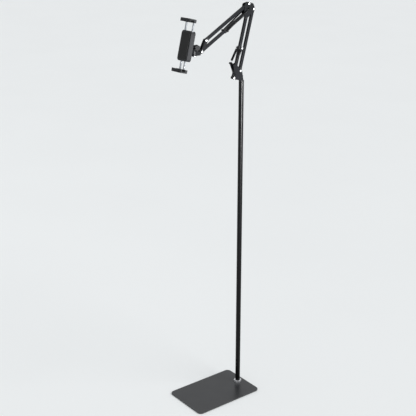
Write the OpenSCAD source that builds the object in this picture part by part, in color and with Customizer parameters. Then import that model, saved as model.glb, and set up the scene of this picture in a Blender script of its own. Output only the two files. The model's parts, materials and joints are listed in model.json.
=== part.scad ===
// Adjustable tablet floor stand: a flat steel base, a three-section pole and a
// sprung double-parallelogram arm that carries a tilting, turning tablet clamp.
// Millimetres, +Z up, front towards -Y. The origin is the middle of the base, on the floor.

/* [Base] */
// Length of the base plate, front to back
base_len = 300; // [240:5:360]
// Width of the base plate
base_w = 200; // [150:5:260]
// Corner radius of the base plate
base_corner = 17; // [12:1:40]
// Thickness of the base plate
plate_t = 4.5; // [4:0.5:8]
// Thickness of the foam mat under the plate
mat_t = 1.5; // [1:0.5:4]
// How far the mat stays inside the plate's edge
mat_inset = 5; // [2:1:12]
// Distance of the pole's axis from the rear edge
pole_setback = 31; // [24:1:60]
// Shank diameter of the countersunk base bolt
base_bolt_d = 8; // [6:1:10]
// Width across flats of the foot nut
foot_nut_af = 28; // [24:1:34]
// Height of the foot nut
foot_nut_h = 9; // [6:1:14]

/* [Pole] */
// Outside diameter of the pole
pole_d = 19; // [17:0.5:22]
// Wall of the pole's tubes
pole_wall = 1.2; // [0.8:0.1:1.8]
// Length of one pole section
section_len = 411; // [300:1:480]
// Length of the threaded inserts inside the tubes
insert_len = 26; // [18:1:40]
// Diameter of the studs that join the sections
stud_d = 10; // [6:0.5:11]
// Thickness of the bush's collar on top of the pole
bush_collar = 1.5; // [1:0.5:4]

/* [Bracket on the pole] */
// Diameter of the swivel post
post_d = 12; // [9:0.5:12.5]
// Length of the post inside the pole
post_len = 40; // [24:1:70]
// Rear pivot, forward of the pole's axis
rear_pivot_fwd = 8.8; // [5:0.1:14]
// Rear pivot, above the pole
rear_pivot_up = 39.5; // [36:0.5:46]
// Front pivot, forward of the pole's axis
front_pivot_fwd = 38.7; // [35:0.1:46]
// Front pivot, above the pole
front_pivot_up = 17; // [13:0.5:20]
// Spring horn, forward of the front pivot
horn_fwd = 3.4; // [0:0.2:8]
// Spring horn, above the front pivot
horn_up = 51; // [44:0.5:60]
// How far the horns' tips lean out from the cheeks
horn_splay = 3.4; // [0:0.2:3.6]

/* [Arms] */
// Pivot to pivot length of the lower arm
lower_len = 223; // [190:1:300]
// Pivot to pivot length of the upper arm
upper_len = 223; // [190:1:300]
// Backward lean of the lower arm
lower_lean = 15; // [5:1:25]
// Drop of the upper arm below level
upper_drop = 30.6; // [10:0.2:36]
// Width of the square bars
bar_w = 10; // [8.5:0.5:11]
// Wall of the square bars
bar_wall = 1; // [0.6:0.1:1.6]
// Corner radius of the square bars
bar_corner = 1.2; // [0.6:0.1:1.8]
// Radius of the eyes at the bars' ends
eye_r = 5.2; // [4.8:0.1:5.6]
// Distance from a pivot to the end of its tube
eye_reach = 11; // [8:0.5:16]
// Thickness of the cheek plates
cheek_t = 2.5; // [1.5:0.5:3.5]
// Side play between a bar and its cheeks
side_play = 0.4; // [0.2:0.1:0.8]
// Diameter of the pivot rivets
pin_d = 5; // [4:0.5:6]
// Lower collar, along the front bar from its pivot
lower_collar_at = 108; // [95:1:130]
// Upper collar, along the low bar from its pivot
upper_collar_at = 100; // [85:1:130]

/* [Elbow] */
// Upper pivot, forward of the rear elbow pivot
elbow_fwd = 21.5; // [18:0.5:24]
// Upper pivot, above the rear elbow pivot
elbow_up = 20.5; // [17:0.5:24]
// Low pivot, forward of the upper pivot
link_fwd = 19; // [17.5:0.5:22]
// Low pivot, below the upper pivot
link_down = 36.4; // [34:0.2:39]

/* [Springs] */
// Outside diameter of the arm springs
spring_d = 7; // [5:0.5:7]
// Wire diameter of the arm springs
wire_d = 1.2; // [0.8:0.1:1.4]
// Turns of each lower spring
lower_turns = 14; // [8:1:16]
// Turns of each upper spring
upper_turns = 24; // [12:1:28]
// Distance of the springs from the arm's middle plane
spring_side = 12.2; // [12:0.1:14]
// Diameter of the bolts that the springs hook on
hook_bolt_d = 4; // [3:0.5:4.5]
// Reach of a spring's short hook, on the bar
short_hook = 5.5; // [5.5:0.5:7]
// Reach of a spring's long hook, on the bracket or the elbow
long_hook = 11; // [8:0.5:16]

/* [Head] */
// Tilt axis, forward of the head's upper pivot
tilt_fwd = 50; // [46:0.5:56]
// Tilt axis, below the head's upper pivot
tilt_down = 19.4; // [18:0.2:23]
// Outside diameter of the swivel barrel
barrel_d = 19; // [17:0.5:20]
// Height of the swivel barrel
barrel_h = 13; // [10:0.5:14]
// Diameter of the yoke's spigot
spigot_d = 10; // [8:0.5:11]
// Thickness of the hub's tongue
tongue_t = 10; // [8:0.5:11]
// Diameter of the tilt knob
knob_d = 22; // [16:1:24]
// Length of the tilt knob
knob_len = 12; // [9:0.5:14]

/* [Clamp] */
// Backward lean of the clamp
clamp_lean = 13.6; // [0:0.2:30]
// Distance from the tilt axis to the clamp's back
clamp_reach = 24; // [24:0.5:30]
// Height of the clamp's housing
housing_h = 104; // [96:1:116]
// Width of the clamp's housing
housing_w = 56; // [56:1:70]
// Corner radius of the housing
housing_corner = 10; // [6:1:16]
// Depth of the back cover
back_depth = 8; // [8:0.5:12]
// Depth of the front cover
front_depth = 10; // [10:0.5:14]
// Wall at the ends of the housing
end_wall = 4; // [3:0.5:6]
// Thickness of the rubber on the clamp's face
face_pad_t = 1.5; // [1:0.5:3]
// Gap between the jaws
jaw_gap = 174; // [165:1:180]
// Width of the jaws
jaw_w = 55; // [50:1:62]
// Depth of the slot in each jaw
jaw_slot = 11; // [9:0.5:14]
// Thickness of the jaws' lips
lip_t = 3; // [2:0.5:5]
// How far the lips reach over the slot
lip_over = 8; // [6:0.5:12]
// Thickness of the jaws' rubber pads
jaw_pad_t = 1; // [0.5:0.5:3]
// Thickness of the jaws' bridges
bridge_t = 4; // [3:0.5:8]
// Width of a slide leg
leg_w = 7; // [5:0.5:7]
// Thickness of a slide leg
leg_t = 4; // [3:0.5:4.5]

/* [Hidden] */
$fn = 64;
// Clearances: turning fits, faces that slide, and faces that only pass
fit = 0.05;
slip = 0.3;
pass = 0.2;

// Heights of the stand, from the floor
plate_z = mat_t;
nut_z = plate_z + plate_t;
pole_z = nut_z + foot_nut_h;
sections = 3;
pole_top = pole_z + sections * section_len;
pole_y = base_len / 2 - pole_setback;
tube_r = pole_d / 2 - pole_wall;
bolt_head_r = base_bolt_d / 2 + plate_t * 0.8;

// Arm plane: forward and up from the pole's axis at the top of the pole
slot = bar_w / 2 + side_play;
cheek_out = slot + cheek_t;
cheek_r = eye_r + 0.1;
horn_r = hook_bolt_d / 2 + 2.6;
pin_r = pin_d / 2;
rivet_head_r = pin_r + 1.7;
rivet_head_h = 1.4;
rear_pivot = [rear_pivot_fwd, rear_pivot_up];
front_pivot = [front_pivot_fwd, front_pivot_up];
horn = front_pivot + [horn_fwd, horn_up];
horn_root = (rear_pivot + front_pivot) / 2;
horn_bend = horn_root + 0.42 * (horn - horn_root);
horn_len = norm(horn - horn_bend);
horn_turn = atan2(horn[1] - horn_bend[1], horn[0] - horn_bend[0]);
lower_dir = [-sin(lower_lean), cos(lower_lean)];
upper_dir = [cos(upper_drop), -sin(upper_drop)];
elbow_rear = rear_pivot + lower_len * lower_dir;
elbow_front = front_pivot + lower_len * lower_dir;
elbow_top = elbow_rear + [elbow_fwd, elbow_up];
elbow_low = elbow_top + [link_fwd, -link_down];
head_top = elbow_top + upper_len * upper_dir;
head_low = elbow_low + upper_len * upper_dir;
lower_hook = front_pivot + lower_collar_at * lower_dir;
upper_hook = elbow_low + upper_collar_at * upper_dir;
elbow_hook = (elbow_rear + elbow_top + elbow_low) / 3 + [5.5, 0.5];
tilt_at = head_top + [tilt_fwd, -tilt_down];

// Head of the post, and the block between the cheeks that stays clear of both eyes
head_foot = bush_collar + pass;
post_head_h = 3;
cheek_foot = head_foot + post_head_h;
block_clear = eye_r + 2.5;
block_rivet_r = 1.5;
block_back = post_d * 0.29;
block_rivet_at = [[rear_pivot_fwd * 0.6, rear_pivot_up * 0.42], [rear_pivot_fwd + 8, front_pivot_up * 0.9]];

// Hook bolts and springs
collar_w = bar_w + 4;
collar_len = 12;
hook_boss_out = cheek_out + 0.6;
hook_head_h = 2;
hook_out = spring_side + hook_bolt_d / 2 + 0.6;
spring_r = (spring_d - wire_d) / 2;
loop_r = hook_bolt_d / 2 + wire_d / 2 + 0.3;
curl_rings = 8;
wire_sides = 6;

// Yoke and hub, measured from the tilt axis
yoke_r = 9;
yoke_foot = 16;
yoke_base_t = 4;
barrel_top = -yoke_foot - pass;
barrel_low = barrel_top - barrel_h;
washer_t = 1.5;
yoke_screw_d = 4;
ear_in = tongue_t / 2 + pass;
ear_t = 4;
ear_out = ear_in + ear_t;
flange_r = 14;
flange_t = 4;
spindle_r = 4;
hub_nut_t = 4;

// Clamp, measured along its facing direction from the tilt axis
seam_at = clamp_reach + back_depth;
face_at = seam_at + front_depth;
pad_at = face_at + face_pad_t;
lip_at = pad_at + jaw_slot;
cavity_h = housing_h - 2 * end_wall;
leg_at = seam_at + slip;
cavity_depth = leg_t + 2.4;
inner_lane = 10.5;
outer_lane = housing_w / 2 - 7.5;
grip = jaw_gap / 2;
bridge_at = grip + jaw_pad_t;
jaw_top = bridge_at + bridge_t;
jaw_back = seam_at - 2;
jaw_wall = leg_at + leg_t + 3;
jaw_low = bridge_at - lip_over;
leg_in = 14;
cover_screw_at = cavity_h / 2 - 5;
spring_tube_r = leg_t / 2;

black = "#1d1e20";
charcoal = "#3a3b3f";
plate_grey = "#545557";
bright = "#d5d7da";
rubber = "#2a2a2b";
steel = "#8d9096";

// Shared shapes

// Rectangle with round corners, centred
module round_rect(size, r) {
    square([size[0] - 2 * r, size[1]], center = true);
    square([size[0], size[1] - 2 * r], center = true);
    for (a = [-1, 1], b = [-1, 1])
        translate([a * (size[0] / 2 - r), b * (size[1] / 2 - r)]) circle(r);
}

// Direction out of the side that touches two discs, each given as [centre, radius]
function side_turn(a, b) = let (way = b[0] - a[0])
    atan2(way[1], way[0]) + acos((a[1] - b[1]) / norm(way));

// Points round disc b, from the side that it shares with a to the one that it shares with c
function rim(a, b, c) = let (
    steps = 12,
    from = side_turn(a, b),
    sweep = (from - side_turn(b, c) + 720) % 360
) [for (i = [0 : steps]) let (turn = from - sweep * i / steps) b[0] + b[1] * [cos(turn), sin(turn)]];

// Plate round discs that are listed clockwise
module round_plate(discs) {
    n = len(discs);
    polygon([for (i = [0 : n - 1]) each rim(discs[(i + n - 1) % n], discs[i], discs[(i + 1) % n])]);
}

// Frame of the arms: x forward, y up, z towards the stand's right side
module arm_frame() {
    translate([0, pole_y, pole_top]) rotate([90, 0, -90]) children();
}

// Frame of the clamp: x along its facing direction, y along its height
module clamp_frame() {
    arm_frame() translate(tilt_at) rotate(clamp_lean) children();
}

// Stands an outline drawn as height and width on the clamp's facing direction
module clamp_slab(from, to) {
    translate([from, 0, 0]) rotate([90, 0, 90]) linear_extrude(to - from) children();
}

// Headed rivet across the arm's plane
module rivet(at, r, half, head_r, head_h) {
    dome = (head_r * head_r + head_h * head_h) / (2 * head_h);
    translate(at) {
        cylinder(h = 2 * half, r = r, center = true);
        for (side = [0, 1]) mirror([0, 0, side]) translate([0, 0, half]) rotate_extrude()
            intersection() {
                translate([0, head_h - dome]) circle(dome);
                square([head_r, head_h]);
            }
    }
}

// Hook bolt across the arm's plane, with a head and a nut of the same width
module hook_bolt(at) {
    translate(at) {
        cylinder(h = 2 * hook_out, d = hook_bolt_d, center = true);
        for (side = [-1, 1]) translate([0, 0, side * (hook_out + hook_head_h / 2)])
            cylinder(h = hook_head_h, d = hook_bolt_d + 3.5, center = true);
    }
}

// Square tube between two pivots
module bar_tube(from, dir, len) {
    translate(from) rotate([0, 0, atan2(dir[1], dir[0])]) translate([eye_reach, 0, 0])
        rotate([90, 0, 90]) linear_extrude(len - 2 * eye_reach) difference() {
            round_rect([bar_w, bar_w], bar_corner);
            square(bar_w - 2 * bar_wall, center = true);
        }
}

// Moulded eyes plugged into both ends of a bar
module bar_eyes(from, dir, len) {
    spigot_len = 14;
    bore = bar_w - 2 * bar_wall;
    translate(from) rotate([0, 0, atan2(dir[1], dir[0])])
        for (end = [0, 1]) translate([end * len, 0, 0]) mirror([end, 0, 0]) difference() {
            union() {
                cylinder(h = bar_w, r = eye_r, center = true);
                translate([0, -bar_w / 2, -bar_w / 2]) cube([eye_reach, bar_w, bar_w]);
                translate([0, -bore / 2, -bore / 2]) cube([eye_reach + spigot_len, bore, bore]);
            }
            cylinder(h = bar_w + 1, r = pin_r + fit, center = true);
        }
}

// Collar round a bar, with a boss for the hook bolt on each side
module bar_collar(at, dir) {
    translate(at) rotate([0, 0, atan2(dir[1], dir[0])]) difference() {
        union() {
            translate([-collar_len / 2, 0, 0]) rotate([90, 0, 90])
                linear_extrude(collar_len) round_rect([collar_w, collar_w], 2);
            cylinder(h = 2 * hook_boss_out, d = hook_bolt_d + 4, center = true);
        }
        cube([collar_len + 1, bar_w, bar_w], center = true);
        cylinder(h = 2 * hook_boss_out + 1, d = hook_bolt_d, center = true);
    }
}

// Cheek plate cut from an outline, on the left (-1) or right (1) side
module cheek(side) {
    translate([0, 0, side * (slot + cheek_t / 2)]) linear_extrude(cheek_t, center = true) children();
}

// Springs: one wire with a hook loop at each end and its turns between them

function unit(v) = v / norm(v);

function loop_points(at, from, to, steps) = [
    for (i = [0 : steps]) let (a = from + (to - from) * i / steps)
        [at + loop_r * cos(a), loop_r * sin(a), 0]
];

// Points of the wire, with x along the spring, its short hook at 0 and its long hook at reach
function wire_path(reach, turns) = let (
    body = reach - short_hook - long_hook,
    steps = turns * curl_rings,
    ease = min(1.6, body / turns / 2),
    bend = function(a) a < 90 ? ease * (1 - pow(1 - a / 90, 2)) : ease,
    climb = (body - 2 * ease) / turns
) concat(
    [[loop_r * cos(330) + wire_d * 0.5, loop_r * sin(330) + wire_d * 0.87, 0]],
    loop_points(0, 330, 90, 6),
    [[short_hook / 2, (loop_r + spring_r) / 2, 0]],
    [for (i = [0 : steps]) let (a = 360 * i / curl_rings, left = 360 * turns - a)
        [short_hook + climb * a / 360 + bend(a) + ease - bend(left),
            spring_r * cos(a), spring_r * sin(a)]],
    [[reach - long_hook / 2, (loop_r + spring_r) / 2, 0]],
    loop_points(reach, 90, -150, 6),
    [[reach - loop_r * cos(330) - wire_d * 0.5, loop_r * sin(330) + wire_d * 0.87, 0]]
);

// Least free gap of a wire to itself, between points over one turn apart
function wire_gap(p) = min([
    for (i = [0 : len(p) - 1]) for (j = [i + curl_rings - 1 : 1 : min(len(p) - 1, i + 3 * curl_rings)])
        norm(p[i] - p[j])
]) - wire_d;

// Round wire swept along points, its section carried on without twist
module wire(p) {
    n = len(p);
    along = [for (i = [0 : n - 1]) unit(p[min(i + 1, n - 1)] - p[max(i - 1, 0)])];
    side = [for (i = 0, v = [0, 0, 1]; i < n;
        i = i + 1, v = i < n ? unit(v - along[i] * (v * along[i])) : v) v];
    rings = [for (i = [0 : n - 1]) let (across = cross(along[i], side[i]))
        for (k = [0 : wire_sides - 1]) let (a = 360 * k / wire_sides)
            p[i] + wire_d / 2 * (cos(a) * side[i] + sin(a) * across)];
    skin = [for (i = [0 : n - 2]) for (k = [0 : wire_sides - 1])
        let (a = i * wire_sides + k, b = i * wire_sides + (k + 1) % wire_sides)
            each [[a, a + wire_sides, b], [b, a + wire_sides, b + wire_sides]]];
    ends = [for (k = [1 : wire_sides - 2]) let (last = (n - 1) * wire_sides)
        each [[0, k, k + 1], [last, last + k + 1, last + k]]];
    polyhedron(points = rings, faces = concat(skin, ends));
}

// Arm spring from one hook to another, on the left (-1) or right (1) side
module arm_spring(from, to, turns, side) {
    reach = norm(to - from);
    path = wire_path(reach, turns);
    echo(turns = turns, least_gap = wire_gap(path));
    color(black) arm_frame() translate([from[0], from[1], side * spring_side])
        rotate(atan2(to[1] - from[1], to[0] - from[0])) wire(path);
}

// Base and pole

module base_outline(inset) {
    round_rect([base_w - 2 * inset, base_len - 2 * inset], base_corner - inset);
}

module base_plate() {
    color(plate_grey) difference() {
        translate([0, 0, plate_z]) linear_extrude(plate_t) base_outline(0);
        translate([0, pole_y, plate_z - 1]) cylinder(h = plate_t + 2, d = base_bolt_d);
        translate([0, pole_y, plate_z])
            cylinder(h = bolt_head_r - base_bolt_d / 2, r1 = bolt_head_r, r2 = base_bolt_d / 2);
    }
}

module floor_mat() {
    color(rubber) difference() {
        linear_extrude(mat_t) base_outline(mat_inset);
        translate([0, pole_y, -1]) cylinder(h = mat_t + 2, r = bolt_head_r + 3);
    }
}

module base_bolt() {
    socket_d = base_bolt_d * 0.6;
    color(steel) translate([0, pole_y, plate_z]) difference() {
        union() {
            cylinder(h = bolt_head_r - base_bolt_d / 2, r1 = bolt_head_r, r2 = base_bolt_d / 2);
            cylinder(h = plate_t + foot_nut_h + insert_len - 4, d = base_bolt_d);
        }
        translate([0, 0, -1]) cylinder(h = 3, d = socket_d, $fn = 6);
    }
}

module foot_nut() {
    corner_r = foot_nut_af / sqrt(3);
    color(bright) translate([0, pole_y, nut_z]) difference() {
        intersection() {
            cylinder(h = foot_nut_h, r = corner_r, $fn = 6);
            cylinder(h = foot_nut_h, r1 = corner_r + foot_nut_h * 1.5, r2 = foot_nut_af / 2 - 0.5);
        }
        translate([0, 0, -1]) cylinder(h = foot_nut_h + 2, d = base_bolt_d);
    }
}

module foot_insert() {
    color(steel) translate([0, pole_y, pole_z]) difference() {
        cylinder(h = insert_len, r = tube_r);
        translate([0, 0, -1]) cylinder(h = insert_len + 2, d = base_bolt_d);
    }
}

module pole_section(index) {
    color(black) translate([0, pole_y, pole_z + index * section_len]) difference() {
        cylinder(h = section_len, d = pole_d);
        translate([0, 0, -1]) cylinder(h = section_len + 2, r = tube_r);
    }
}

module lower_tube() { pole_section(0); }
module middle_tube() { pole_section(1); }
module upper_tube() { pole_section(2); }

module joint_studs() {
    color(steel) for (index = [1 : sections - 1])
        translate([0, pole_y, pole_z + index * section_len]) {
            translate([0, 0, -insert_len]) cylinder(h = insert_len, r = tube_r);
            cylinder(h = insert_len - 4, d = stud_d);
        }
}

module joint_nuts() {
    color(steel) for (index = [1 : sections - 1])
        translate([0, pole_y, pole_z + index * section_len]) difference() {
            cylinder(h = insert_len, r = tube_r);
            translate([0, 0, -1]) cylinder(h = insert_len + 2, d = stud_d);
        }
}

module top_bush() {
    color(black) translate([0, pole_y, pole_top]) difference() {
        union() {
            translate([0, 0, -post_len - 4]) cylinder(h = post_len + 4, r = tube_r);
            cylinder(h = bush_collar, d = pole_d);
        }
        translate([0, 0, -post_len - 0.5])
            cylinder(h = post_len + bush_collar + 1, r = post_d / 2 + fit);
    }
}

// Swivel bracket

// Turned post with a head on the pole's bush and a block between the cheeks
module swivel_post() {
    color(charcoal) arm_frame() difference() {
        union() {
            rotate([-90, 0, 0]) {
                translate([0, 0, -post_len]) cylinder(h = post_len + head_foot + 1, d = post_d);
                translate([0, 0, head_foot]) cylinder(h = post_head_h, d = pole_d);
            }
            linear_extrude(2 * slot, center = true) polygon([
                [-block_back, cheek_foot - 1],
                [rear_pivot_fwd, cheek_foot - 1],
                front_pivot - [block_clear, cheek_r - 2.5],
                front_pivot - [block_clear, 0],
                rear_pivot - [0, block_clear],
                [-block_back, rear_pivot_up * 0.55]
            ]);
        }
        for (at = block_rivet_at) translate(at)
            cylinder(h = 2 * cheek_out, r = block_rivet_r, center = true);
    }
}

// Body round the two pivots and the foot
module bracket_outline() {
    foot_r = post_d / 2 - 0.5;
    foot = [foot_r - block_back + 1, cheek_foot + 5];
    round_plate([[rear_pivot, cheek_r], [front_pivot, cheek_r], [foot, foot_r]]);
}

// Horn that rises from the body
module horn_outline() {
    knee = (rear_pivot + front_pivot) / 2 + [3.5, 0.5];
    round_plate([[rear_pivot, cheek_r - 0.3], [horn, horn_r], [knee, cheek_r + 1.5]]);
}

// Half of the arm's plane that lies past the horn's bend, from a little before it
module past_bend(before) {
    translate(horn_bend) rotate(horn_turn) translate([-before, -horn_up]) square(2 * horn_up);
}

// Horn past its bend, leaning out
module horn_tip(side) {
    translate([horn_bend[0], horn_bend[1], side * (slot + cheek_t / 2)]) rotate(horn_turn)
        rotate([0, -side * asin(horn_splay / horn_len), 0]) rotate(-horn_turn)
            linear_extrude(cheek_t, center = true) translate(-horn_bend) intersection() {
                horn_outline();
                past_bend(0);
            }
}

module bracket_cheek(side) {
    color(charcoal) arm_frame() difference() {
        union() {
            cheek(side) difference() {
                union() {
                    bracket_outline();
                    horn_outline();
                }
                translate([-pole_d, -pole_d]) square([3 * pole_d + front_pivot_fwd, pole_d + cheek_foot]);
                past_bend(-1);
            }
            horn_tip(side);
        }
        for (at = [rear_pivot, front_pivot]) translate(at)
            cylinder(h = 2 * cheek_out + 1, r = pin_r, center = true);
        for (at = block_rivet_at) translate(at)
            cylinder(h = 2 * cheek_out + 1, r = block_rivet_r, center = true);
        translate(horn) cylinder(h = 2 * hook_out, d = hook_bolt_d, center = true);
    }
}

module bracket_left_cheek() { bracket_cheek(-1); }
module bracket_right_cheek() { bracket_cheek(1); }

module bracket_rivets() {
    color(bright) arm_frame() for (at = [rear_pivot, front_pivot])
        rivet(at, pin_r, cheek_out, rivet_head_r, rivet_head_h);
}

module block_rivets() {
    color(black) arm_frame() for (at = block_rivet_at)
        rivet(at, block_rivet_r, cheek_out, block_rivet_r + 1, 0.8);
}

module horn_pins() {
    color(black) arm_frame() for (side = [0, 1]) mirror([0, 0, side])
        translate([horn[0], horn[1], slot + horn_splay]) {
            reach = hook_out - slot - horn_splay;
            cylinder(h = reach, d = hook_bolt_d);
            translate([0, 0, reach]) cylinder(h = hook_head_h, d = hook_bolt_d + 3);
        }
}

module lower_spring_left() { arm_spring(lower_hook, horn, lower_turns, -1); }
module lower_spring_right() { arm_spring(lower_hook, horn, lower_turns, 1); }

// Lower arm

module lower_rear_tube() { color(charcoal) arm_frame() bar_tube(rear_pivot, lower_dir, lower_len); }
module lower_rear_eyes() { color(black) arm_frame() bar_eyes(rear_pivot, lower_dir, lower_len); }

module lower_front_tube() {
    color(charcoal) arm_frame() difference() {
        bar_tube(front_pivot, lower_dir, lower_len);
        translate(lower_hook) cylinder(h = 2 * bar_w, d = hook_bolt_d, center = true);
    }
}

module lower_front_eyes() { color(black) arm_frame() bar_eyes(front_pivot, lower_dir, lower_len); }
module lower_collar() { color(black) arm_frame() bar_collar(lower_hook, lower_dir); }
module lower_hook_bolt() { color(bright) arm_frame() hook_bolt(lower_hook); }

// Elbow

module elbow_outline() {
    corner = [elbow_rear[0] + elbow_fwd * 0.3, elbow_top[1] - 4];
    nose = elbow_top + [13, -6];
    round_plate([
        [elbow_rear, cheek_r], [corner, cheek_r - 1.5], [elbow_top, cheek_r], [nose, cheek_r + 3.3],
        [elbow_low, cheek_r], [elbow_front, cheek_r]
    ]);
}

module elbow_cheek(side) {
    color(black) arm_frame() difference() {
        cheek(side) elbow_outline();
        for (at = [elbow_rear, elbow_top, elbow_low, elbow_front]) translate(at)
            cylinder(h = 2 * cheek_out + 1, r = pin_r, center = true);
        translate(elbow_hook) cylinder(h = 2 * cheek_out + 1, d = hook_bolt_d, center = true);
    }
}

module elbow_left_cheek() { elbow_cheek(-1); }
module elbow_right_cheek() { elbow_cheek(1); }

module elbow_rivets() {
    color(bright) arm_frame() for (at = [elbow_rear, elbow_top])
        rivet(at, pin_r, cheek_out, rivet_head_r, rivet_head_h);
}

module elbow_pins() {
    color(black) arm_frame() for (at = [elbow_low, elbow_front]) translate(at)
        cylinder(h = 2 * cheek_out, r = pin_r, center = true);
}

// The bolt's thick middle keeps the cheeks apart
module elbow_hook_bolt() {
    color(black) arm_frame() {
        hook_bolt(elbow_hook);
        translate(elbow_hook) cylinder(h = 2 * slot, d = hook_bolt_d + 3, center = true);
    }
}

module upper_spring_left() { arm_spring(upper_hook, elbow_hook, upper_turns, -1); }
module upper_spring_right() { arm_spring(upper_hook, elbow_hook, upper_turns, 1); }

// Upper arm

module upper_top_tube() { color(charcoal) arm_frame() bar_tube(elbow_top, upper_dir, upper_len); }
module upper_top_eyes() { color(black) arm_frame() bar_eyes(elbow_top, upper_dir, upper_len); }

module upper_low_tube() {
    color(charcoal) arm_frame() difference() {
        bar_tube(elbow_low, upper_dir, upper_len);
        translate(upper_hook) cylinder(h = 2 * bar_w, d = hook_bolt_d, center = true);
    }
}

module upper_low_eyes() { color(black) arm_frame() bar_eyes(elbow_low, upper_dir, upper_len); }
module upper_collar() { color(black) arm_frame() bar_collar(upper_hook, upper_dir); }
module upper_hook_bolt() { color(black) arm_frame() hook_bolt(upper_hook); }

// Head: bracket, swivel yoke and tilt hub

module head_bracket() {
    barrel = tilt_at + [0, (barrel_top + barrel_low) / 2];
    arm_r = barrel_h / 2;
    color(black) arm_frame() difference() {
        union() {
            for (side = [-1, 1]) cheek(side) {
                round_plate([[head_top, cheek_r], [head_low, cheek_r]]);
                round_plate([[head_low, cheek_r], [barrel, arm_r]]);
            }
            translate([head_low[0] + eye_r + 1, tilt_at[1] + barrel_low, -slot - 0.5])
                cube([tilt_at[0] - head_low[0] - eye_r - 1, barrel_h, 2 * slot + 1]);
            translate(tilt_at) rotate([90, 0, 0]) translate([0, 0, -barrel_top])
                cylinder(h = barrel_h, d = barrel_d);
        }
        for (at = [head_top, head_low]) translate(at)
            cylinder(h = 2 * cheek_out + 1, r = pin_r, center = true);
        translate(head_low) cylinder(h = 2 * slot, r = eye_r + 1, center = true);
        translate(tilt_at) rotate([90, 0, 0]) translate([0, 0, -barrel_top - 1])
            cylinder(h = barrel_h + 2, r = spigot_d / 2 + fit);
        translate([tilt_at[0] - barrel_d, tilt_at[1] + barrel_top, -barrel_d])
            cube([3 * barrel_d, barrel_d, 2 * barrel_d]);
        translate([tilt_at[0] - barrel_d / 2, tilt_at[1] + barrel_low - barrel_d, -barrel_d])
            cube([3 * barrel_d, barrel_d, 2 * barrel_d]);
    }
}

module head_rivets() {
    color(bright) arm_frame() for (at = [head_top, head_low])
        rivet(at, pin_r, cheek_out, rivet_head_r, rivet_head_h);
}

module tilt_yoke() {
    color(charcoal) arm_frame() translate(tilt_at) difference() {
        union() {
            for (side = [-1, 1]) translate([0, 0, side * (ear_in + ear_t / 2)])
                linear_extrude(ear_t, center = true) {
                    circle(yoke_r);
                    translate([-yoke_r, -yoke_foot]) square([2 * yoke_r, yoke_foot]);
                }
            rotate([90, 0, 0]) {
                translate([0, 0, yoke_foot - yoke_base_t]) cylinder(h = yoke_base_t, r = yoke_r + 2);
                translate([0, 0, yoke_foot - 1]) cylinder(h = barrel_h + 1 + 2 * pass, d = spigot_d);
            }
        }
        cylinder(h = 2 * ear_out + 1, r = pin_r, center = true);
        rotate([90, 0, 0]) translate([0, 0, yoke_foot]) cylinder(h = barrel_h + 2, d = yoke_screw_d);
    }
}

module yoke_screw() {
    low = yoke_foot + barrel_h + 2 * pass;
    color(steel) arm_frame() translate(tilt_at) rotate([90, 0, 0]) {
        translate([0, 0, low]) cylinder(h = washer_t, d = spigot_d + 5);
        translate([0, 0, low + washer_t]) cylinder(h = 2, d = spigot_d - 2);
        translate([0, 0, yoke_foot]) cylinder(h = barrel_h + 1, d = yoke_screw_d);
    }
}

// Bolt across the yoke, with its head on the right and its thread under the knob
module tilt_bolt() {
    color(steel) arm_frame() translate(tilt_at) {
        translate([0, 0, -ear_out - knob_len + 3]) cylinder(h = 2 * ear_out + knob_len - 3, r = pin_r);
        translate([0, 0, ear_out]) cylinder(h = 3, r = pin_r + 2, $fn = 6);
    }
}

module tilt_knob() {
    lobes = 6;
    scallop_r = knob_d / 7;
    color(black) arm_frame() translate(tilt_at) translate([0, 0, -ear_out - pass]) mirror([0, 0, 1])
        difference() {
            union() {
                cylinder(h = 3, r = pin_r + 3.5);
                translate([0, 0, 2.5]) cylinder(h = knob_len - 2.5, d = knob_d);
            }
            for (k = [0 : lobes - 1]) rotate(360 * k / lobes) translate([knob_d / 2 + 0.8, 0, 2])
                cylinder(h = knob_len, r = scallop_r);
            translate([0, 0, -1]) cylinder(h = knob_len - 1, r = pin_r + fit);
        }
}

module tilt_hub() {
    flange_at = clamp_reach - slip - flange_t;
    color(black) clamp_frame() difference() {
        union() {
            linear_extrude(tongue_t, center = true) {
                circle(yoke_r - 0.5);
                translate([0, -yoke_r + 2]) square([flange_at + 1, 2 * yoke_r - 4]);
            }
            rotate([0, 90, 0]) {
                translate([0, 0, flange_at]) cylinder(h = flange_t, r = flange_r);
                translate([0, 0, flange_at + 1]) cylinder(h = seam_at - flange_at - 1.5, r = spindle_r);
            }
        }
        cylinder(h = tongue_t + 1, r = pin_r + fit, center = true);
    }
}

module hub_nut() {
    color(steel) clamp_frame() rotate([0, 90, 0])
        translate([0, 0, seam_at - hub_nut_t - slip]) difference() {
            cylinder(h = hub_nut_t, r = spindle_r + 3, $fn = 6);
            translate([0, 0, -1]) cylinder(h = hub_nut_t + 2, r = spindle_r);
        }
}

// Clamp housing

module housing_outline() {
    round_rect([housing_h, housing_w], housing_corner);
}

module back_cover() {
    screw_r = 1.5;
    color(charcoal) clamp_frame() difference() {
        clamp_slab(clamp_reach, seam_at) housing_outline();
        rotate([0, 90, 0]) {
            translate([0, 0, clamp_reach - 1]) cylinder(h = back_depth + 2, r = spindle_r + fit);
            translate([0, 0, seam_at - hub_nut_t - 2 * slip])
                cylinder(h = back_depth, r = spindle_r + 3.5);
        }
        for (end = [-1, 1]) translate([0, end * cover_screw_at, 0]) rotate([0, 90, 0]) {
            translate([0, 0, clamp_reach - 1]) cylinder(h = back_depth + 2, r = screw_r);
            translate([0, 0, clamp_reach - 1]) cylinder(h = 4, r = 2 * screw_r);
        }
    }
}

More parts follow.
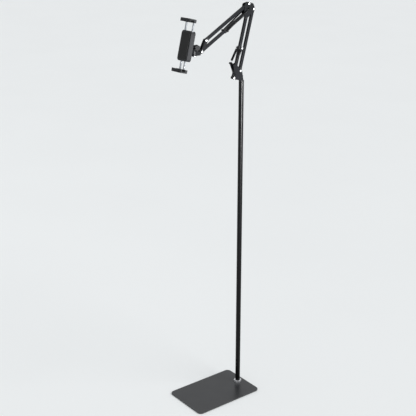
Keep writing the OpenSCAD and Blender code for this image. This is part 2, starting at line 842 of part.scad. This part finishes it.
module front_cover() {
    color(charcoal) clamp_frame() difference() {
        clamp_slab(seam_at, face_at) housing_outline();
        difference() {
            translate([seam_at - 1, -cavity_h / 2, -outer_lane - leg_w / 2 - slip])
                cube([cavity_depth + 1, cavity_h, 2 * outer_lane + leg_w + 2 * slip]);
            for (end = [-1, 1]) translate([seam_at - 1, end * cover_screw_at, 0]) rotate([0, 90, 0])
                cylinder(h = cavity_depth + 1, r = 3.5);
        }
        leg_slots(outer_lane, 1);
        leg_slots(inner_lane, -1);
        for (end = [-1, 1]) translate([seam_at - 1, end * cover_screw_at, 0]) rotate([0, 90, 0])
            cylinder(h = cavity_depth + 1, r = 1.5);
    }
}

// Slots through one end wall for a jaw's two legs
module leg_slots(lane, end) {
    for (side = [-1, 1]) translate([leg_at + leg_t / 2, end * (housing_h - end_wall) / 2, side * lane])
        translate([-1, 0, 0]) cube([leg_t + 2 + 2 * slip, end_wall + 2, leg_w + 2 * slip], center = true);
}

module face_pad() {
    color(rubber) clamp_frame() clamp_slab(face_at, pad_at)
        round_rect([housing_h - 12, housing_w - 12], housing_corner - 4);
}

module cover_screws() {
    head_at = clamp_reach + 1;
    color(steel) clamp_frame() for (end = [-1, 1]) translate([0, end * cover_screw_at, 0])
        rotate([0, 90, 0]) {
            translate([0, 0, head_at]) cylinder(h = 2, r = 2.8);
            translate([0, 0, head_at]) cylinder(h = seam_at + cavity_depth - head_at, r = 1.5);
        }
}

// Jaws, drawn for the upper end

module jaw_outline() {
    edge = 1;
    polygon([
        [jaw_back, jaw_low], [jaw_wall, jaw_low], [jaw_wall, bridge_at - 2], [jaw_wall + 2, bridge_at],
        [lip_at, bridge_at], [lip_at, jaw_low + 1], [lip_at + 1, jaw_low], [lip_at + lip_t, jaw_low],
        [lip_at + lip_t, jaw_top - edge], [lip_at + lip_t - edge, jaw_top],
        [jaw_back + 2 * edge, jaw_top], [jaw_back, jaw_top - 2 * edge]
    ]);
}

module jaw(lane) {
    groove_pitch = 4.5;
    groove_w = 1.8;
    groove_d = 0.8;
    grooves = floor((jaw_w / 2 - 3) / groove_pitch);
    difference() {
        linear_extrude(jaw_w, center = true) jaw_outline();
        for (k = [-grooves : grooves])
            translate([lip_at + lip_t, (jaw_low + jaw_top) / 2 + 1.5, k * groove_pitch])
                cube([2 * groove_d, jaw_top - jaw_low, groove_w], center = true);
        slide_legs(lane);
    }
}

module slide_legs(lane) {
    for (side = [-1, 1]) translate([leg_at, leg_in, side * lane - leg_w / 2])
        cube([leg_t, jaw_top - leg_in - 2, leg_w]);
}

module jaw_pad() {
    translate([pad_at - 1, grip, -jaw_w / 2 + 3]) cube([jaw_slot, jaw_pad_t, jaw_w - 6]);
}

// Return springs of one jaw, between its legs and the far end wall
module leg_springs(lane) {
    far = -cavity_h / 2 + pass;
    near = leg_in - pass;
    for (side = [-1, 1]) translate([leg_at + leg_t / 2, near, side * lane]) rotate([90, 0, 0])
        difference() {
            cylinder(h = near - far, r = spring_tube_r);
            translate([0, 0, -1]) cylinder(h = near - far + 2, r = spring_tube_r - 0.8);
        }
}

module upper_jaw() { color(charcoal) clamp_frame() jaw(outer_lane); }
module upper_slide() { color(steel) clamp_frame() slide_legs(outer_lane); }
module upper_jaw_pad() { color(rubber) clamp_frame() jaw_pad(); }
module upper_jaw_springs() { color(steel) clamp_frame() leg_springs(outer_lane); }
module lower_jaw() { color(charcoal) clamp_frame() mirror([0, 1, 0]) jaw(inner_lane); }
module lower_slide() { color(steel) clamp_frame() mirror([0, 1, 0]) slide_legs(inner_lane); }
module lower_jaw_pad() { color(rubber) clamp_frame() mirror([0, 1, 0]) jaw_pad(); }
module lower_jaw_springs() { color(steel) clamp_frame() mirror([0, 1, 0]) leg_springs(inner_lane); }

base_plate();
floor_mat();
base_bolt();
foot_nut();
foot_insert();
lower_tube();
middle_tube();
upper_tube();
joint_studs();
joint_nuts();
top_bush();
swivel_post();
bracket_left_cheek();
bracket_right_cheek();
bracket_rivets();
block_rivets();
horn_pins();
lower_spring_left();
lower_spring_right();
lower_rear_tube();
lower_rear_eyes();
lower_front_tube();
lower_front_eyes();
lower_collar();
lower_hook_bolt();
elbow_left_cheek();
elbow_right_cheek();
elbow_rivets();
elbow_pins();
elbow_hook_bolt();
upper_spring_left();
upper_spring_right();
upper_top_tube();
upper_top_eyes();
upper_low_tube();
upper_low_eyes();
upper_collar();
upper_hook_bolt();
head_bracket();
head_rivets();
tilt_yoke();
yoke_screw();
tilt_bolt();
tilt_knob();
tilt_hub();
hub_nut();
back_cover();
front_cover();
face_pad();
cover_screws();
upper_jaw();
upper_slide();
upper_jaw_pad();
upper_jaw_springs();
lower_jaw();
lower_slide();
lower_jaw_pad();
lower_jaw_springs();
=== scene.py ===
# %% [markdown]
# # Adjustable floor stand with a sprung arm and a sliding clamp
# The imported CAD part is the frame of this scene. Here it gets its camera, finishes, softened edges,
# closely wound springs and light. All lengths are in metres, in the part's own frame: +Z is up and the
# front faces -Y.

import json
import math

import bpy
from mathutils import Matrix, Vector


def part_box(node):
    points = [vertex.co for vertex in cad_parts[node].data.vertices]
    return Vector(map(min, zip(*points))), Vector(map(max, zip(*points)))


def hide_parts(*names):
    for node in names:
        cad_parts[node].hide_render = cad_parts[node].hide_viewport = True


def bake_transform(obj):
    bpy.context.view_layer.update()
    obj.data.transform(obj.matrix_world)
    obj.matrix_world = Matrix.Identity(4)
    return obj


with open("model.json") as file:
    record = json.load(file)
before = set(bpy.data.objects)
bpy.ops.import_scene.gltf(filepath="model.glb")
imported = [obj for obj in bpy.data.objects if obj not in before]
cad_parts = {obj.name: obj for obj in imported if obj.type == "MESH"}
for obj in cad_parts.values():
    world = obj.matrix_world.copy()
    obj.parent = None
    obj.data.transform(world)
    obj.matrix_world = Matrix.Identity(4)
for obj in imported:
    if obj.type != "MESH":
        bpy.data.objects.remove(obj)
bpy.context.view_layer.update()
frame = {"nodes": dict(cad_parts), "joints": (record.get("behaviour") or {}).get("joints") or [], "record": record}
nodes = frame["nodes"]
scene = bpy.context.scene

# %% [markdown]
# ## Camera
# A camera could be placed by eye, but then the edges would lie only roughly where the photo has them.
# This one was fitted to the edges of the pole and the base plate and to the clamp's gap. It stands to the
# right of the stand as the viewer faces it, a little above the clamp, and looks down by 19 degrees.

# %% Place the camera
PHOTO_SIDE = 416  # pixels
SENSOR_MM = 36.0
LENS_MM = 75.25
CAMERA_PLACE = (2.41074, -1.89766, 1.85402)
CAMERA_LOOK = (-0.746606, 0.577809, -0.329721)
CLIP_NEAR = 0.1
CLIP_FAR = 100.0


def middle(node):
    """Centre of a CAD node's box."""
    low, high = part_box(node)
    return (Vector(low) + Vector(high)) / 2


camera_data = bpy.data.cameras.new("photo_camera")
camera_data.sensor_width = SENSOR_MM
camera_data.lens = LENS_MM
camera_data.clip_start = CLIP_NEAR
camera_data.clip_end = CLIP_FAR
# Half a pixel aside, because the photo's edges were measured from the pixels' centres.
camera_data.shift_x = -0.5 / PHOTO_SIDE
camera_data.shift_y = 0.5 / PHOTO_SIDE
camera = bpy.data.objects.new("photo_camera", camera_data)
camera.location = CAMERA_PLACE
camera.rotation_euler = Vector(CAMERA_LOOK).to_track_quat("-Z", "Y").to_euler()
scene.collection.objects.link(camera)
scene.camera = camera
pole = middle("middle_tube")
print("camera distance to the pole:", round((camera.location - pole).length, 3))

# %% [markdown]
# ## Finishes
# The stand is painted steel, plated steel, moulded plastic and rubber. Each could be one flat colour, but
# no real surface is even: paint flows into a faint orange peel, plating keeps the grain of the metal
# under it, and a mould leaves its texture on the plastic. So every finish is one Principled shader with
# two noises in object coordinates, sized in millimetres. A broad one shifts between two close tones, and
# a fine one drives a shallow bump and a slight change of roughness. Colours are sRGB hex, turned into the
# linear values that the shader works in.

# %% Turn a colour to linear and add a node


def linear(hex_colour):
    """sRGB hex to linear RGBA."""
    parts = [int(hex_colour[i : i + 2], 16) / 255 for i in (1, 3, 5)]
    return [c / 12.92 if c <= 0.04045 else ((c + 0.055) / 1.055) ** 2.4 for c in parts] + [1.0]


def add_node(tree, kind, place, links=None, **inputs):
    """A node of a tree, at a place in the node editor, with its named inputs set and linked."""
    node = tree.nodes.new(kind)
    node.location = place
    for name, value in inputs.items():
        node.inputs[name.replace("_", " ")].default_value = value
    for name, output in (links or {}).items():
        tree.links.new(output, node.inputs[name])
    return node


print("the middle grey #808080 in linear light:", round(linear("#808080")[0], 3))

# %% Build a finish
MM_PER_M = 1000
CLOUD_DETAIL = 2.0
GRAIN_DETAIL = 3.0
TONE_STOPS = (0.35, 0.65)


def finish(
    name,
    tones,
    roughness,
    spread=0.05,
    metallic=0.0,
    shine=0.5,
    cloud_mm=30.0,
    grain_mm=0.6,
    depth_mm=0.01,
):
    """A finish of two tones in clouds of cloud_mm, with a grain of grain_mm across and depth_mm deep.

    Its roughness varies by spread, and shine is the shader's specular level (0.5 is an IOR of 1.5).
    """
    material = bpy.data.materials.new(name)
    material.use_nodes = True
    tree = material.node_tree
    tree.nodes.clear()
    here = {"Vector": add_node(tree, "ShaderNodeTexCoord", (-900, 0)).outputs["Object"]}
    cloud_scale = MM_PER_M / cloud_mm
    grain_scale = MM_PER_M / grain_mm
    clouds = add_node(tree, "ShaderNodeTexNoise", (-650, 300), here, Scale=cloud_scale, Detail=CLOUD_DETAIL)
    grain = add_node(tree, "ShaderNodeTexNoise", (-650, -100), here, Scale=grain_scale, Detail=GRAIN_DETAIL)
    tone = add_node(tree, "ShaderNodeValToRGB", (-350, 300), {"Fac": clouds.outputs["Fac"]})
    for stop, place, colour in zip(tone.color_ramp.elements, TONE_STOPS, tones):
        stop.position = place
        stop.color = linear(colour)
    rough = add_node(
        tree,
        "ShaderNodeMapRange",
        (-350, 0),
        {"Value": grain.outputs["Fac"]},
        To_Min=roughness - spread,
        To_Max=roughness + spread,
    )
    bump = add_node(
        tree,
        "ShaderNodeBump",
        (-350, -300),
        {"Height": grain.outputs["Fac"]},
        Strength=1.0,
        Distance=depth_mm / MM_PER_M,
    )
    surface = {
        "Base Color": tone.outputs["Color"],
        "Roughness": rough.outputs["Result"],
        "Normal": bump.outputs["Normal"],
    }
    shader = add_node(
        tree, "ShaderNodeBsdfPrincipled", (0, 0), surface, Metallic=metallic, Specular_IOR_Level=shine
    )
    add_node(tree, "ShaderNodeOutputMaterial", (300, 0), {"Surface": shader.outputs["BSDF"]})
    return material


finishes = {}
print("a grain of 2.5 mm has a noise scale of", MM_PER_M / 2.5)

# %% [markdown]
# ### Paints
# The record groups the nodes into material slots, and each slot gets one finish, so that a piece can be
# repainted by its slot. The plate, the pole and the arm are steel under baked black paint. One black for
# all would be simpler, but in the photo they differ, so each has its own tone and shine. The plate's and
# the pole's coat is half gloss, with an orange peel about 2.5 mm from crest to crest. The arm's is satin.
# Its grain is a few tenths of a millimetre on the real paint, too fine to show in a render, so it is
# drawn coarser, at 0.8 mm.

# %% Mix the paints
half_gloss = dict(spread=0.02, cloud_mm=60.0, grain_mm=2.5, depth_mm=0.0015)
satin = dict(shine=0.2, cloud_mm=40.0, grain_mm=0.8, depth_mm=0.01)
# The pale room shines in the plate, so that it looks grey from above, and the pole is a dark streak in it.
finishes["plate_paint"] = finish(
    "half gloss black plate paint", ("#232426", "#27282a"), 0.32, shine=0.8, **half_gloss
)
# The pole stays almost black, with one pale streak from the light at its side.
finishes["pole_paint"] = finish(
    "half gloss black pole paint", ("#0a0a0b", "#0d0d0e"), 0.28, shine=0.16, **half_gloss
)
# The bars and the bracket have a soft sheen and no clear reflection: they look like even, dark grey faces.
finishes["arm_paint"] = finish("satin charcoal paint", ("#0f1013", "#131418"), 0.38, **satin)
# The elbow and the head have the same sheen on a slightly less blue black.
finishes["elbow_paint"] = finish("satin black paint", ("#0f1012", "#131417"), 0.38, **satin)
print("paints:", [paint.name for paint in finishes.values()])

# %% [markdown]
# ### Metals
# The rivets, the lower springs' cross bolt and the foot nut are nickel plated, the arm springs and their
# pins are blackened steel, and the slide legs, the jaw springs and the hidden fasteners are zinc plated.
# Mirrors would be simplest, but a mirror shows only what stands around it. So each metal is a little
# rough, and the nickel isn't fully metallic, so that it stays pale where it mirrors black paint. The
# grains of plated and blackened metal are finer than 0.1 mm and can't show, so they are drawn coarser, at
# 0.5 to 2 mm.

# %% Plate the metals
# Nickel gives the small white glints of the rivets and the bright ring at the pole's foot.
finishes["bright_steel"] = finish(
    "bright nickel plate",
    ("#ecedef", "#f4f5f7"),
    0.3,
    metallic=0.88,
    cloud_mm=6.0,
    grain_mm=2.0,
    depth_mm=0.002,
)
# The black skin is dark all over but still glints along each turn of a wire, so that a spring looks ribbed.
finishes["spring_black"] = finish(
    "black oxide wire",
    ("#161617", "#1e1e20"),
    0.32,
    metallic=0.6,
    cloud_mm=8.0,
    grain_mm=0.5,
    depth_mm=0.004,
)
# Zinc is a cool mid grey with blurred highlights, duller than the nickel.
finishes["plain_steel"] = finish(
    "zinc plated steel",
    ("#abaeb2", "#babdc1"),
    0.34,
    metallic=1.0,
    cloud_mm=12.0,
    grain_mm=0.7,
    depth_mm=0.005,
)
print("paints and metals:", len(finishes))

# %% [markdown]
# ### Mouldings and rubber
# The bars' eyes and collars, the knob, the hub and the bush are moulded in black plastic, and the clamp
# in charcoal plastic. Spark erosion gives their moulds a fine texture, which leaves them matt. The
# clamp's pads are rubber, and the mat under the plate is foam. The textures could be modelled, but they
# are about 0.1 mm fine: even as a bump they are drawn coarser, at 0.5 mm on the plastics and 1 mm on the
# rubber.

# %% Mould the plastics and the rubber
moulded = dict(shine=0.4, cloud_mm=25.0, grain_mm=0.5, depth_mm=0.015)
# A dull black without reflections, which shows only the form.
finishes["black_plastic"] = finish("fine matt black moulding", ("#101012", "#141416"), 0.5, **moulded)
# A shade lighter, so that the clamp's edges and covers can be told apart.
finishes["clamp_plastic"] = finish("fine matt charcoal moulding", ("#19191c", "#1d1e21"), 0.5, **moulded)
# No highlight at all: the pads and the mat look soft.
finishes["soft_rubber"] = finish(
    "matt black rubber", ("#121212", "#171717"), 0.8, cloud_mm=15.0, grain_mm=1.0, depth_mm=0.05
)
print("finishes:", ", ".join(sorted(finishes)))

# %% [markdown]
# ## Edges
# Cut plates are deburred and moulds have small radii, so no edge of the real stand is perfectly sharp,
# and each catches a thin line of light. Fillets in the CAD would multiply its faces, and a bevel in the
# shader wouldn't be in the exported mesh, so modifiers round the edges here, with a width that suits each
# kind of piece. The CAD meshes come split along their sharp edges. A weld closes each skin and a planar
# dissolve turns its triangles into whole faces, because a bevel can only run along an edge that two faces
# share. Normals weighted by face area keep flat faces flat. The foot nut gets a wider, rounder shoulder,
# as hexagonal nuts have. Its small faces limit it.

# %% Soften an object's edges
WELD_REACH = 1e-5
FLAT_WITHIN = 1.0  # degrees
SHARP_OVER = 35.0  # degrees


def soften(obj, width, least_angle=SHARP_OVER, segments=2):
    """Rounds an object's edges by width where they turn by least_angle degrees, and shades it smooth."""
    for face in obj.data.polygons:
        face.use_smooth = True
    weld = obj.modifiers.new("closed skin", "WELD")
    weld.merge_threshold = WELD_REACH
    flat = obj.modifiers.new("whole faces", "DECIMATE")
    flat.decimate_type = "DISSOLVE"
    flat.angle_limit = math.radians(FLAT_WITHIN)
    bevel = obj.modifiers.new("edges", "BEVEL")
    bevel.width = width
    bevel.segments = segments
    bevel.limit_method = "ANGLE"
    bevel.angle_limit = math.radians(least_angle)
    bevel.use_clamp_overlap = True
    normals = obj.modifiers.new("flat faces", "WEIGHTED_NORMAL")
    normals.keep_sharp = True


print("edges are rounded where faces meet at more than", SHARP_OVER, "degrees")

# %% Paint the CAD nodes and break their edges
edge_mm = {
    "plate_paint": 0.8,
    "pole_paint": 0.4,
    "arm_paint": 0.4,
    "elbow_paint": 0.4,
    "bright_steel": 0.25,
    "spring_black": 0.2,
    "plain_steel": 0.25,
    "black_plastic": 0.3,
    "clamp_plastic": 0.4,
    "soft_rubber": 0.3,
}
nut_shoulder = dict(width=0.0026, least_angle=20.0, segments=4)
slot_of = {part["node"]: part["material_slot"] for part in frame["record"]["subparts"]}
wound = [name for name in nodes if "spring" in name]
for name, obj in nodes.items():
    obj.data.materials.clear()
    obj.data.materials.append(finishes[slot_of[name]])
    if name == "foot_nut":
        soften(obj, **nut_shoulder)
    elif name not in wound:
        soften(obj, edge_mm[slot_of[name]] / MM_PER_M)
print("painted:", len(nodes), "left for winding:", sorted(wound))

# %% [markdown]
# ## Springs
# Four long springs hold the arm up, and four small ones pull the jaws together. On the real stand they
# are closely wound. The CAD has open turns and plain tubes in their place, which keeps its solids light.
# A Screw modifier or an array of rings could draw the turns, but not the hooks that run out of them. So a
# spring is one path of points here, coil and hooks together, and a Geometry Nodes tree sweeps a round
# wire along it.

# %% Wind a coil
ACROSS_ARM = Vector((1, 0, 0))


def coil_path(start, end, turns, per_turn, coil_r):
    """Points of a coil from start to end, with per_turn points on each turn."""
    across = ACROSS_ARM.cross((end - start).normalized())
    steps = turns * per_turn
    angles = [2 * math.pi * i / per_turn for i in range(steps + 1)]
    return [
        start.lerp(end, i / steps) + across * coil_r * math.cos(a) + ACROSS_ARM * coil_r * math.sin(a)
        for i, a in enumerate(angles)
    ]


print("points of a coil of 3 turns:", len(coil_path(Vector(), Vector((0, 0, 1)), 3, 16, 0.1)))

# %% Add the hooks
ARM_TURN_STEPS = 20
HOOK_STEPS = 20
HOOK_R = 0.0029
SHORT_HOOK = 0.0055
LONG_HOOK = 0.011
SHORT_HOOK_ARC = (335, 90)  # degrees
LONG_HOOK_ARC = (90, -155)  # degrees


def hook_path(centre, along, arc):
    """Points of a hook around a bolt's centre, over an arc in degrees from the spring's direction."""
    across = ACROSS_ARM.cross(along)
    first, last = arc
    angles = [math.radians(first + (last - first) * i / HOOK_STEPS) for i in range(HOOK_STEPS + 1)]
    return [centre + along * HOOK_R * math.cos(a) + across * HOOK_R * math.sin(a) for a in angles]


def spring_path(start, end, pitch, coil_r):
    """Points of a spring between two bolts across the arm: its short hook at start, its long one at end."""
    along = (end - start).normalized()
    coil_start = start + along * SHORT_HOOK
    coil_end = end - along * LONG_HOOK
    turns = round((coil_end - coil_start).length / pitch)
    coil = coil_path(coil_start, coil_end, turns, ARM_TURN_STEPS, coil_r)
    return hook_path(start, along, SHORT_HOOK_ARC) + coil + hook_path(end, along, LONG_HOOK_ARC)


print("points of a hook:", len(hook_path(Vector(), Vector((0, 0, 1)), SHORT_HOOK_ARC)))

# %% Build the tree that sweeps a wire
WIRE_SIDES = 10


def wire_tree():
    """A node tree that sweeps a round wire along a curve, and its inputs' identifiers."""
    tree = bpy.data.node_groups.new("round wire", "GeometryNodeTree")
    sockets = tree.interface
    sockets.new_socket("Geometry", in_out="INPUT", socket_type="NodeSocketGeometry")
    radius = sockets.new_socket("Wire radius", in_out="INPUT", socket_type="NodeSocketFloat")
    paint = sockets.new_socket("Finish", in_out="INPUT", socket_type="NodeSocketMaterial")
    sockets.new_socket("Geometry", in_out="OUTPUT", socket_type="NodeSocketGeometry")
    given = add_node(tree, "NodeGroupInput", (-900, 0)).outputs
    ring = add_node(
        tree,
        "GeometryNodeCurvePrimitiveCircle",
        (-650, -200),
        {"Radius": given["Wire radius"]},
        Resolution=WIRE_SIDES,
    )
    sweep = add_node(
        tree,
        "GeometryNodeCurveToMesh",
        (-400, 0),
        {"Curve": given["Geometry"], "Profile Curve": ring.outputs["Curve"]},
        Fill_Caps=True,
    )
    smooth = add_node(tree, "GeometryNodeSetShadeSmooth", (-200, 0), {"Geometry": sweep.outputs["Mesh"]})
    solid = add_node(tree, "GeometryNodeRealizeInstances", (0, 0), {"Geometry": smooth.outputs["Geometry"]})
    painted = add_node(
        tree,
        "GeometryNodeSetMaterial",
        (200, 0),
        {"Geometry": solid.outputs["Geometry"], "Material": given["Finish"]},
    )
    add_node(tree, "NodeGroupOutput", (400, 0), {"Geometry": painted.outputs["Geometry"]})
    return tree, radius.identifier, paint.identifier


round_wire, wire_radius_id, wire_finish_id = wire_tree()
print("nodes of the wire tree:", len(round_wire.nodes))

# %% Sweep a wire along paths


def swept(name, paths, radius, material):
    """One plain mesh of the wires that follow these paths."""
    curve = bpy.data.curves.new(name + " path", "CURVE")
    curve.dimensions = "3D"
    for points in paths:
        spline = curve.splines.new("POLY")
        spline.points.add(len(points) - 1)
        for target, p in zip(spline.points, points):
            target.co = (*p, 1.0)
    carrier = bpy.data.objects.new(name + " path", curve)
    scene.collection.objects.link(carrier)
    sweep = carrier.modifiers.new("round wire", "NODES")
    sweep.node_group = round_wire
    sweep[wire_radius_id] = radius
    sweep[wire_finish_id] = material
    mesh = bpy.data.meshes.new_from_object(carrier.evaluated_get(bpy.context.evaluated_depsgraph_get()))
    bpy.data.objects.remove(carrier)
    bpy.data.curves.remove(curve)
    mesh.name = name
    piece = bpy.data.objects.new(name, mesh)
    scene.collection.objects.link(piece)
    return piece


print("inputs of the wire tree:", wire_radius_id, wire_finish_id)

# %% [markdown]
# ### Arm springs
# The springs' ends are read from the CAD: the hook bolts' centres, and the springs' own distance from the
# arm's middle plane. In the photo the lower springs are clearly thicker than the upper ones, which let
# light through between the bars. A spring could ride on one of the bodies that hold its hooks, but then
# its other hook would tear off when the arm moves, so it should blend between the two. Each row lists
# these two bodies and, as two shares of its length counted from the held hook, where the spring would
# turn from one to the other, chosen so that it bows least at the arm's limits. This script doesn't use
# them: each spring is a plain mesh in its rest place.

# %% Wind the arm springs
PITCH_IN_WIRE_RADII = 2.08  # 2 would have each turn touch the next
# Each row: the spring and its two bolts, its moving and holding body, wire and coil radius, and the shares.
pairs = [
    (
        ("lower_spring", "lower_hook_bolt", "horn_pins"),
        ("lower_front_bar", "bracket"),
        (0.0007, 0.0037),
        (-0.12, 0.84),
    ),
    (
        ("upper_spring", "upper_hook_bolt", "elbow_hook_bolt"),
        ("upper_low_bar", "elbow"),
        (0.0005, 0.0021),
        (0.0, 0.24),
    ),
]
for (stem, first, last), (moving, holding), (wire_r, coil_r), turning in pairs:
    for hand in ("left", "right"):
        node = f"{stem}_{hand}"
        offset = Vector((middle(node).x, 0, 0))
        start = middle(first) + offset
        end = middle(last) + offset
        path = spring_path(start, end, PITCH_IN_WIRE_RADII * wire_r, coil_r)
        spring = swept(f"{node}_wound", [path], wire_r, finishes["spring_black"])
        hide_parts(node)
        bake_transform(spring)
        print(node, "length:", round((end - start).length, 4), "faces:", len(spring.data.polygons))

# %% [markdown]
# ### Jaw springs
# The jaws' return springs lie inside the clamp's housing, two for each jaw, and stretch when it is pulled
# out. They could stay the plain tubes that they are in the CAD, but whoever takes off a cover would find
# pipes. So they are wound by the same coil and tree, along the direction in which their jaw slides, as
# plain meshes in their rest place.

# %% Wind the jaw springs
JAW_TURNS = 52
JAW_TURN_STEPS = 16
JAW_COIL_R = 0.00165
JAW_WIRE_R = 0.00028
JAW_END_ROOM = 0.0003
slides = {joint["name"]: joint for joint in frame["joints"]}
for jaw in ("upper_jaw", "lower_jaw"):
    node = f"{jaw}_springs"
    way = Vector(slides[f"{jaw}_slide"]["axis"]).normalized()
    paths = []
    for hand in (-1, 1):
        tube = [v.co for v in nodes[node].data.vertices if v.co.x * hand > 0]
        centre = sum(tube, Vector()) / len(tube)
        half = max(abs((p - centre).dot(way)) for p in tube) - JAW_END_ROOM
        ends = (centre - way * half, centre + way * half)
        paths.append(coil_path(*ends, JAW_TURNS, JAW_TURN_STEPS, JAW_COIL_R))
    spring = swept(f"{node}_wound", paths, JAW_WIRE_R, finishes["plain_steel"])
    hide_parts(node)
    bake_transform(spring)
    print(node, "faces:", len(spring.data.polygons))

# %% [markdown]
# ## Floor and light
# The photo is a product shot on white: a plain pale floor, an even light from above, no hard shadow, and
# one pale streak down the upper half of the pole. A ring of area lights could light it, but one sun with
# a large angle gives the same soft shadow under the plate, and the bright surroundings fill in the rest.
# A low panel on the camera's right makes the streak. Its spread is kept small, so that it adds little to
# the floor.

# %% Lay the floor
FLOOR_REACH = 300.0
floor_mesh = bpy.data.meshes.new("floor")
corners = [(x * FLOOR_REACH, y * FLOOR_REACH, 0) for x, y in ((-1, -1), (1, -1), (1, 1), (-1, 1))]
floor_mesh.from_pydata(corners, [], [(0, 1, 2, 3)])
floor = bpy.data.objects.new("floor", floor_mesh)
# Almost one even tone, as of a studio floor, without a shine that would compete with the plate's.
floor.data.materials.append(
    finish(
        "pale floor",
        ("#eceeee", "#edefef"),
        0.6,
        spread=0.02,
        cloud_mm=900.0,
        grain_mm=20.0,
        depth_mm=0.0,
    )
)
scene.collection.objects.link(floor)
print("floor reaches", FLOOR_REACH, "m to each side")

# %% Set the lights
SUN_STRENGTH = 1.6
SUN_ANGLE = 35  # degrees
SUN_PLACE = (0.8, 0.4, 2.6)
SUN_TARGET = (0, 0, 1.6)
STRIP_WATTS = 11.0
STRIP_SPREAD = 45  # degrees
STRIP_WIDTH = 1.0
STRIP_HEIGHT = 0.6
STRIP_PLACE = (2.5, -0.1, 0.82)
STREAK_HEIGHT = 1.25


def aim(name, data, place, target):
    """Puts a light at place and turns it to target."""
    light = bpy.data.objects.new(name, data)
    light.location = place
    light.rotation_euler = (Vector(target) - Vector(place)).to_track_quat("-Z", "Y").to_euler()
    scene.collection.objects.link(light)


ceiling = bpy.data.lights.new("ceiling", "SUN")
ceiling.energy = SUN_STRENGTH
ceiling.angle = math.radians(SUN_ANGLE)
aim("ceiling", ceiling, SUN_PLACE, SUN_TARGET)
strip = bpy.data.lights.new("strip", "AREA")
strip.shape = "RECTANGLE"
strip.size = STRIP_WIDTH
strip.size_y = STRIP_HEIGHT
strip.energy = STRIP_WATTS
strip.spread = math.radians(STRIP_SPREAD)
aim("strip", strip, STRIP_PLACE, (pole.x, pole.y, STREAK_HEIGHT))

# %% Brighten the surroundings
ROOM_COLOUR = "#f6f8fa"
ROOM_STRENGTH = 0.65
world = bpy.data.worlds.new("white room")
scene.world = world
world.use_nodes = True
room = world.node_tree.nodes["Background"].inputs
room["Color"].default_value = linear(ROOM_COLOUR)
room["Strength"].default_value = ROOM_STRENGTH
scene.view_settings.view_transform = "Standard"
print("surroundings:", world.name, "strength:", ROOM_STRENGTH)
